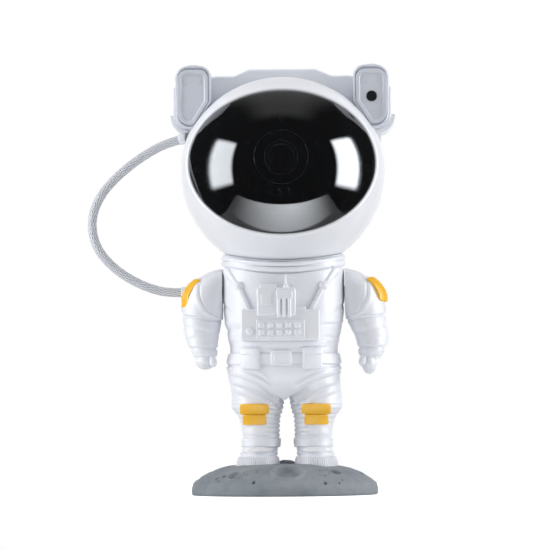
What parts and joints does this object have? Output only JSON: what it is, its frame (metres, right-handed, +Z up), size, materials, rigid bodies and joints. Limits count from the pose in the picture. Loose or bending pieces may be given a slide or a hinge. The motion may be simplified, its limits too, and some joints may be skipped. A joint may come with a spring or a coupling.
{
  "type": "planetarium projector",
  "caption": "Desk star and nebula projector in the form of a standing astronaut; its helmet turns and tilts on a magnetic neck, and its arms swing.",
  "frame": {"origin": "centre of the rubber pad under the moon-shaped base", "axes": "+Z up the figure, -Y the way its visor faces, +X to the right of someone facing it"},
  "size_m": [0.163, 0.114, 0.2272],
  "materials": {
    "suit_white": "white ABS moulded with a soft satin face",
    "helmet_white": "white ABS, semi-gloss",
    "housing_grey": "mid grey ABS, satin",
    "pod_grey": "pale grey ABS, satin",
    "button_grey": "pale grey ABS buttons",
    "moon_grey": "grey ABS moulded with craters and a fine stony grain",
    "cover_grey": "dark grey ABS",
    "patch_yellow": "yellow painted badge, satin",
    "smoked_visor": "smoked polycarbonate, polished",
    "hose_braid": "silver-white braided sleeve over a lead",
    "socket_metal": "plated sleeve",
    "pad_rubber": "black non-slip foam rubber",
    "steel": "zinc-plated steel",
    "magnet": "nickel-plated ferrite ring",
    "inner_black": "black ABS",
    "receiver_dark": "dark epoxy that passes infrared",
    "lens": "clear moulded lens",
    "ripple_clear": "frosted clear moulding",
    "board_green": "circuit board",
    "lamp_white": "white-masked aluminium board",
    "heat_sink": "extruded aluminium",
    "brass": "turned brass"
  },
  "bodies": {
    "body": {"moon_base_shell": "moon_grey", "base_plate": "cover_grey", "base_pad": "pad_rubber", "ballast": "steel", "body_screws": "steel", "left_boot": "suit_white", "right_boot": "suit_white", "left_leg": "suit_white", "right_leg": "suit_white", "left_knee_patch": "patch_yellow", "right_knee_patch": "patch_yellow", "torso_front_shell": "suit_white", "torso_rear_shell": "suit_white", "chest_panel": "suit_white", "backpack": "suit_white", "power_socket": "socket_metal", "neck_collar": "suit_white", "neck_plate": "inner_black", "hose_lower": "hose_braid"},
    "neck_swivel": {"swivel_cup": "inner_black", "neck_magnet": "magnet", "friction_ring": "pad_rubber", "neck_clip": "steel", "hose_upper": "hose_braid"},
    "head": {"helmet_front_shell": "helmet_white", "helmet_rear_shell": "helmet_white", "head_screws": "steel", "visor": "smoked_visor", "rear_housing": "housing_grey", "left_pod": "pod_grey", "right_pod": "pod_grey", "left_pod_cap": "pod_grey", "right_pod_cap": "pod_grey", "pod_cap_screws": "steel", "remote_receiver": "receiver_dark", "button_board": "board_green", "optics_bracket": "inner_black", "lens_barrel": "inner_black", "front_lens": "lens", "rear_lens": "lens", "lamp_board": "lamp_white", "heat_sink": "heat_sink", "laser_module": "brass", "drive_motor": "steel", "control_board": "board_green", "armature_plate": "steel", "head_hose_socket": "socket_metal"},
    "ripple_wheel": {"ripple_wheel": "ripple_clear"},
    "motor_pinion": {"motor_pinion": "steel"},
    "star_wheel": {"star_wheel": "ripple_clear"},
    "star_button": {"star_button": "button_grey"},
    "power_button": {"power_button": "button_grey"},
    "nebula_button": {"nebula_button": "button_grey"},
    "left_arm": {"left_arm": "suit_white", "left_arm_patch": "patch_yellow", "left_axle": "steel", "arm_hose_socket": "socket_metal"},
    "right_arm": {"right_arm": "suit_white", "right_arm_patch": "patch_yellow", "right_axle": "steel"}
  },
  "joints": [
    {"name": "head_turn", "type": "hinge", "parent": "body", "child": "neck_swivel", "pos_m": [0, 0, 0.1715], "axis": [0, 0, 1], "range_deg": [-60, 60], "deforming": ["hose_lower"]},
    {"name": "head_tilt", "type": "hinge", "parent": "neck_swivel", "child": "head", "pos_m": [0, 0, 0.1715], "axis": [1, 0, 0], "range_deg": [-30, 18], "deforming": ["hose_upper"]},
    {"name": "left_shoulder", "type": "hinge", "parent": "body", "child": "left_arm", "pos_m": [0, 0, 0.107], "axis": [-1, 0, 0], "range_deg": [-35, 100]},
    {"name": "right_shoulder", "type": "hinge", "parent": "body", "child": "right_arm", "pos_m": [0, 0, 0.107], "axis": [-1, 0, 0], "range_deg": [-35, 100]},
    {"name": "ripple_spin", "type": "hinge", "parent": "head", "child": "ripple_wheel", "pos_m": [0, -0.017, 0.166], "axis": [0, 1, 0], "continuous": true},
    {"name": "pinion_spin", "type": "hinge", "parent": "head", "child": "motor_pinion", "pos_m": [0.021, -0.017, 0.166], "axis": [0, 1, 0], "continuous": true},
    {"name": "star_spin", "type": "hinge", "parent": "head", "child": "star_wheel", "pos_m": [-0.0252, -0.017, 0.166], "axis": [0, 1, 0], "continuous": true},
    {"name": "star_button_press", "type": "slide", "parent": "head", "child": "star_button", "axis": [0, -1, 0], "range_m": [0, 0.0008], "stiffness_N_per_m": 300},
    {"name": "power_button_press", "type": "slide", "parent": "head", "child": "power_button", "axis": [0, -1, 0], "range_m": [0, 0.0008], "stiffness_N_per_m": 300},
    {"name": "nebula_button_press", "type": "slide", "parent": "head", "child": "nebula_button", "axis": [0, -1, 0], "range_m": [0, 0.0008], "stiffness_N_per_m": 300}
  ],
  "couplings": [
    {"joint": "pinion_spin", "follows": "ripple_spin", "ratio": -4},
    {"joint": "star_spin", "follows": "ripple_spin", "ratio": -2}
  ]
}
